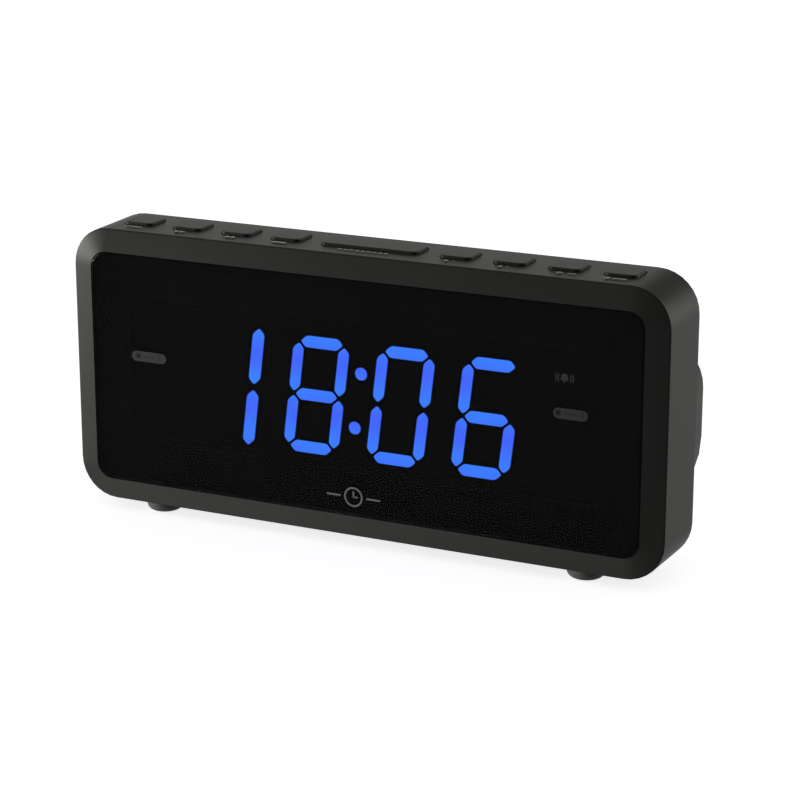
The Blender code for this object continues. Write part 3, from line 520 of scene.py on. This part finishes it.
flange_top = case_top_z - FLANGE_DEPTH
flange_base = flange_top - FLANGE_THICKNESS
key_spots = []
for number in range(1, 10):
    low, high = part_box(f"key_{number}")
    middle = (low + high) / 2
    width, length = high.x - low.x - 2 * FLANGE, high.y - low.y - 2 * FLANGE
    key_spots.append((middle.x, middle.y - length / 2))
    shells = []
    for across, along, corner, low_z, high_z, rounding in (
            (width, length, KEY_CORNER, flange_top - SUNK, high.z, KEY_TOP_ROUNDING),
            (width + 2 * FLANGE, length + 2 * FLANGE, KEY_CORNER + FLANGE,
             flange_base, flange_top, 0.0),
            (STEM_WIDTH, STEM_WIDTH, STEM_CORNER, low.z, flange_base + SUNK, 0.0)):
        shell = thicken(rounded_face(across, along, corner, 8), high_z - low_z, rounding, 4)
        shells.append(shift(shell, middle.x, middle.y, low_z))
    finished(f"key_cap_{number}", join(shells), key_black, f"key_{number}",
             [f"key_{number}"])

# ---------------------------------------------------------------------------
# Key symbols. Pad print in pale grey on the case, in front of each key: plain
# shapes for power, steps, bell, numbers and a dotted bar for the long key.
# ---------------------------------------------------------------------------
LABEL_GAP = 0.0030                      # key front to the symbol's middle
LABEL_HEIGHT = 0.0015
LABEL_THICKNESS = 0.00002
LABEL_STRETCH = (1.35, 1.2, 1.0)        # how much wider and taller they are printed than drawn
RING_STROKE = 0.0002
SMALL_BELL = 0.00042
pale_print = grained("pale_pad_print", (0.060, 0.060, 0.058), (0.110, 0.110, 0.106),
                     (0.5, 0.65), 0.0005, 0.000004, {"IOR": 1.25})


def arrow(side, x):
    return flat_dot(LABEL_HEIGHT * 0.62, x, 0.0, 3, pi * (side < 0))


half = LABEL_HEIGHT / 2
symbols = (
    [flat_ring(half, RING_STROKE, -0.0010), flat_bar(0.0026, 0.0006, x=0.0012)],
    [arrow(-1, -0.0008), arrow(-1, 0.0005)],
    [arrow(1, -0.0005), arrow(1, 0.0008)],
    [flat_bar(0.0034, 0.0008, 0.0003)],
    [flat_bar(0.0009, 0.0006, 0.0002, 0.00135 * step) for step in range(-4, 5)],
    [flat_bell(SMALL_BELL, -0.0008), flat_number("1", 0.0014, 0.0008)],
    [flat_bell(SMALL_BELL, -0.0008), flat_number("2", 0.0014, 0.0008)],
    [flat_bar(0.0016, 0.0004), flat_bar(0.0004, 0.0016), flat_bar(0.0016, 0.0004, x=0.0028)],
    [flat_ring(half, RING_STROKE, -0.0018), flat_dot(0.0003, -0.0018),
     flat_bar(0.0030, 0.0006, x=0.0008)])
for number, (shapes, (x, front_y)) in enumerate(zip(symbols, key_spots), start=1):
    bm = thicken(join(shapes), LABEL_THICKNESS)
    bmesh.ops.scale(bm, vec=LABEL_STRETCH, verts=bm.verts)
    shift(bm, x, front_y - LABEL_GAP, case_top_z)
    finished(f"key_symbol_{number}", bm, pale_print, "case")

# ---------------------------------------------------------------------------
# Rear cover. An ABS moulding: the plate that closes the case and the pod for
# speaker and batteries, with the grille, the socket holes and the door recess.
# ---------------------------------------------------------------------------
moulding("rear_shell", "rear_cover", satin_black, edge=0.0002)

# ---------------------------------------------------------------------------
# Speaker. A pressed steel basket with a ferrite ring behind it and a black
# paper cone, glued to the inside of the grille.
# ---------------------------------------------------------------------------
ferrite = grained("ferrite", (0.040, 0.039, 0.038), (0.070, 0.068, 0.066), (0.5, 0.75),
                  0.0003, 0.00002, {})
cone_paper = grained("cone_paper", (0.014, 0.013, 0.012), (0.030, 0.028, 0.026), (0.8, 0.95),
                     0.0004, 0.00004, {})
dress(tinned, "speaker_frame", "battery_contact_left", "battery_contact_right")
dress(ferrite, "speaker_magnet")
dress(cone_paper, "speaker_cone")

# ---------------------------------------------------------------------------
# Battery door. An ABS plate that tilts down on its lower edge, with a ribbed
# thumb pad near the top and two stiffening ribs inside.
# ---------------------------------------------------------------------------
DOOR_CORNER, DOOR_ROUNDING = 0.0009, 0.00025
PAD_WIDTH, PAD_HEIGHT, PAD_RISE, PAD_DEPTH = 0.0180, 0.0056, 0.0078, 0.0005
PAD_SLOPE = 0.0004                      # how far its walls lean in
GRIP_WIDTH, GRIP_SPACING, GRIP_HEIGHT = 0.0007, 0.0018, 0.0005
GRIP_MARGIN = 0.0008                    # pad edge to the end of a grip rib
GRIP_SUNK = 0.0001                      # how far a grip rib reaches into the pad's floor
STIFFENER_WIDTH, STIFFENER_HEIGHT, STIFFENER_BASE = 0.0010, 0.0004, -0.0003
FACING_REAR = Matrix.Rotation(pi, 4, "Z") @ FACING_FRONT
low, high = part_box("battery_door")
door, door_middle = high - low, (low + high) / 2

plate = thicken(rounded_face(door.x, door.z, DOOR_CORNER, 6), door.y, DOOR_ROUNDING)
for side in (-1, 1):
    cut(plate, (side * PAD_WIDTH / 2, 0.0, 0.0), (1, 0, 0))
for side in (-1, 1):
    cut(plate, (0.0, PAD_RISE + side * PAD_HEIGHT / 2, 0.0), (0, 1, 0))
pad_middle = Vector((0.0, PAD_RISE, door.y))
pad = min((face for face in plate.faces if face.normal.z > 0.9),
          key=lambda face: (face.calc_center_median() - pad_middle).length)
bmesh.ops.inset_region(plate, faces=[pad], thickness=PAD_SLOPE, depth=-PAD_DEPTH)
shells = [plate]
for step in range(-4, 5):
    grip = thicken(rounded_face(GRIP_WIDTH, PAD_HEIGHT - 2 * GRIP_MARGIN, 0.0003, 3),
                   GRIP_HEIGHT, 0.00018, 2)
    shells.append(shift(grip, step * GRIP_SPACING, PAD_RISE, door.y - PAD_DEPTH - GRIP_SUNK))
for side in (-1, 1):
    stiffener = thicken(rounded_face(STIFFENER_WIDTH, door.z * 0.7, 0.0), STIFFENER_HEIGHT)
    shells.append(shift(stiffener, side * door.x / 4, 0.0, STIFFENER_BASE))
finished("door_plate", stand(join(shells), door_middle.x, low.y, door_middle.z, FACING_REAR),
         satin_black, "battery_door", ["battery_door"])

# ---------------------------------------------------------------------------
# Battery cells. Two cells in printed film, a pale band at each end, with bare
# nickelled tips; they lie head to tail between the contacts.
# ---------------------------------------------------------------------------
BARE_LENGTH = 0.0014
BAND_LENGTH = 0.0090                    # from the cell's end, the bare tip with it
low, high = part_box("battery_cell_1")
cell_middle, cell_half = (low.x + high.x) / 2, (high.x - low.x) / 2
cell_wrap, shade, sockets = new_finish("cell_wrap", {"IOR": 1.5})
along = shade.node("ShaderNodeSeparateXYZ", {}, {"Vector": shade.place()})
reach = shade.maths("ABSOLUTE", along - cell_middle)
bare = reach > cell_half - BARE_LENGTH
band = reach > cell_half - BAND_LENGTH
scuffs = shade.noise(260.0, 4.0)
film = band.blend((0.012, 0.016, 0.026, 1), (0.34, 0.34, 0.33, 1))
shade.feed(sockets["Base Color"], bare.blend(film, (0.50, 0.50, 0.49, 1)))
shade.feed(sockets["Metallic"], bare)
shade.feed(sockets["Roughness"], 0.20 + 0.18 * scuffs)
for number in (1, 2):
    moulding(f"cell_{number}", f"battery_cell_{number}", cell_wrap, edge=0.00015)

# ---------------------------------------------------------------------------
# Sockets. A black power socket with its steel pin behind the pod's round hole,
# and a rubber grommet where the aerial wire comes out.
# ---------------------------------------------------------------------------
PIN_RADIUS, PIN_LENGTH, PIN_ROUNDING = 0.00112, 0.0074, 0.0004
PIN_BASE = 0.0085                       # the socket's rear side to the pin's base
rubber = grained("rubber", (0.010, 0.010, 0.010), (0.018, 0.018, 0.018), (0.68, 0.85),
                 0.0005, 0.00003, {"IOR": 1.25})
dress(moulded_black, "dc_jack")
moulding("aerial_grommet", "antenna_grommet", rubber, edge=0.0001)
low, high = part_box("dc_jack")
socket_x, socket_z = (low.x + high.x) / 2, (low.z + high.z) / 2
bm = thicken(flat_dot(PIN_RADIUS, sides=24), PIN_LENGTH, PIN_ROUNDING)
finished("socket_pin", stand(bm, socket_x, high.y - PIN_BASE, socket_z, FACING_REAR), tinned,
         "case")

# ---------------------------------------------------------------------------
# Screws. Black-plated pan heads with a cross recess hold the cover, and two
# bright ones hold the main board.
# ---------------------------------------------------------------------------
HEAD_HEIGHT, HEAD_ROUNDING = 0.0014, 0.0006
SHANK_SHARE = 0.52                      # of the head's radius, for the shank and the cross's arms
CROSS_HALF_WIDTH = 0.00032
CROSS_DEPTH, CROSS_SLOPE = 0.0007, 0.00004
black_plate = grained("black_plate", (0.020, 0.020, 0.022), (0.045, 0.045, 0.047), (0.30, 0.48),
                      0.0003, 0.000006, {"Metallic": 1.0})


def screw(name, node, material):
    """Pan-head screw, with its cross recess pressed into the head."""
    low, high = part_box(node)
    middle = (low + high) / 2
    head_radius = (high.x - low.x) / 2
    shank_radius = head_radius * SHANK_SHARE
    shank_length = high.y - low.y - HEAD_HEIGHT
    head = thicken(flat_dot(head_radius, sides=40), HEAD_HEIGHT, HEAD_ROUNDING, 5)
    for offset in (CROSS_HALF_WIDTH, shank_radius):
        for across, up in ((1, 0), (0, 1)):
            for side in (-offset, offset):
                cut(head, (side * across, side * up, 0.0), (across, up, 0.0))
    cross = []
    for face in head.faces:
        centre = face.calc_center_median()
        near, far = sorted((abs(centre.x), abs(centre.y)))
        on_top = face.normal.z > 0.9 and centre.z > 0.9 * HEAD_HEIGHT
        if on_top and near < CROSS_HALF_WIDTH and far < shank_radius:
            cross.append(face)
    bmesh.ops.inset_region(head, faces=cross, thickness=CROSS_SLOPE, depth=-CROSS_DEPTH)
    shank = thicken(flat_dot(shank_radius, sides=24), shank_length)
    shift(head, 0.0, 0.0, shank_length)
    finished(name, stand(join([head, shank]), middle.x, low.y, middle.z, FACING_REAR), material,
             "case", [node])


for number in range(1, 5):
    screw(f"cover_pan_screw_{number}", f"cover_screw_{number}", black_plate)
for number in (1, 2):
    screw(f"board_pan_screw_{number}", f"board_screw_{number}", tinned)

# ---------------------------------------------------------------------------
# Feet. Four rubber pads, rounded where they meet the table, glued under the
# case and under the pod's legs.
# ---------------------------------------------------------------------------
FOOT_ROUNDING = 0.0022
UPSIDE_DOWN = Matrix.Rotation(pi, 4, "X")
for corner in ("front_left", "front_right", "rear_left", "rear_right"):
    low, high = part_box("foot_" + corner)
    middle = (low + high) / 2
    bm = thicken(flat_dot((high.x - low.x) / 2, sides=48), high.z - low.z, FOOT_ROUNDING, 8)
    finished("pad_" + corner, stand(bm, middle.x, middle.y, high.z, UPSIDE_DOWN), rubber,
             "case", ["foot_" + corner])

# ---------------------------------------------------------------------------
# Studio: a pale floor that glows a little, a white surround, soft boxes that
# leave the floor out, and the camera.
# ---------------------------------------------------------------------------
FLOOR_HALF_WIDTH = 8.0
FLOOR_GLOW = 0.80
SURROUND_GLOW = 0.34
scene = bpy.context.scene
scene.view_settings.view_transform = "Standard"

world = bpy.data.worlds.new("surround")
world.use_nodes = True
surround = world.node_tree.nodes["Background"].inputs
surround["Color"].default_value = (1.0, 1.0, 1.0, 1.0)
surround["Strength"].default_value = SURROUND_GLOW
scene.world = world

bm = bmesh.new()
bmesh.ops.create_grid(bm, x_segments=1, y_segments=1, size=FLOOR_HALF_WIDTH)
floor_mesh = bpy.data.meshes.new("floor")
bm.to_mesh(floor_mesh)
bm.free()
floor_paper, shade, sockets = new_finish("floor_paper", {
    "Roughness": 0.9, "IOR": 1.05, "Emission Color": (1.0, 1.0, 1.0, 1.0),
    "Emission Strength": FLOOR_GLOW})
fibre = shade.noise(40.0)
shade.feed(sockets["Base Color"], fibre.blend((0.86, 0.86, 0.86, 1), (0.88, 0.88, 0.88, 1)))
floor_paper.cycles.emission_sampling = "NONE"       # its glow isn't sampled as a lamp's is
floor_mesh.materials.append(floor_paper)
floor = bpy.data.objects.new("floor", floor_mesh)
scene.collection.objects.link(floor)

unlit_floor = bpy.data.collections.new("unlit_floor")   # no lamp lights it, so none shades it
unlit_floor.objects.link(floor)
unlit_floor.collection_objects[0].light_linking.link_state = "EXCLUDE"


def lamp(name, light):
    """Hangs a light that leaves the floor out."""
    holder = bpy.data.objects.new(name, light)
    holder.light_linking.receiver_collection = unlit_floor
    scene.collection.objects.link(holder)
    return holder


def soft_box(name, spot, target, width, height, power):
    light = bpy.data.lights.new(name, "AREA")
    light.shape, light.size, light.size_y, light.energy = "RECTANGLE", width, height, power
    light.color = (1.0, 0.998, 0.93)
    box = lamp(name, light)
    box.location = spot
    box.rotation_euler = (Vector(target) - Vector(spot)).to_track_quat("-Z", "Y").to_euler()
    box.visible_camera = False
    return box


soft_box("left_box", (-1.1, -0.45, 0.12), (0.0, -0.02, 0.05), 0.8, 0.22, 56.0)
soft_box("right_box", (1.1, 0.70, 0.35), (0.0, 0.0, 0.04), 0.7, 0.7, 48.0)
soft_box("back_box", (-1.0, 1.3, 0.52), (0.0, 0.0, 0.08), 1.8, 0.8, 4.6)
bounce = soft_box("table_bounce", (-0.40, -0.48, -0.48), (-0.02, -0.02, 0.01), 0.5, 0.35, 5.0)
bounce.light_linking.blocker_collection = unlit_floor   # it shines up through the floor

sky = bpy.data.lights.new("ceiling_light", "SUN")
sky.energy, sky.angle = 2.5, radians(80.0)
lamp("ceiling_light", sky).rotation_euler = (radians(-8.0), radians(-10.0), 0.0)

camera_data = bpy.data.cameras.new("camera")
camera_data.sensor_width = 36.0
camera_data.lens = 111.505
camera_data.clip_start = 0.01
camera = bpy.data.objects.new("camera", camera_data)
camera.location = (0.30591, -0.62701, 0.24375)
look_at = Vector((0.01374, -0.01930, 0.04646))
camera.rotation_euler = (look_at - camera.location).to_track_quat("-Z", "Y").to_euler()
scene.collection.objects.link(camera)
scene.camera = camera
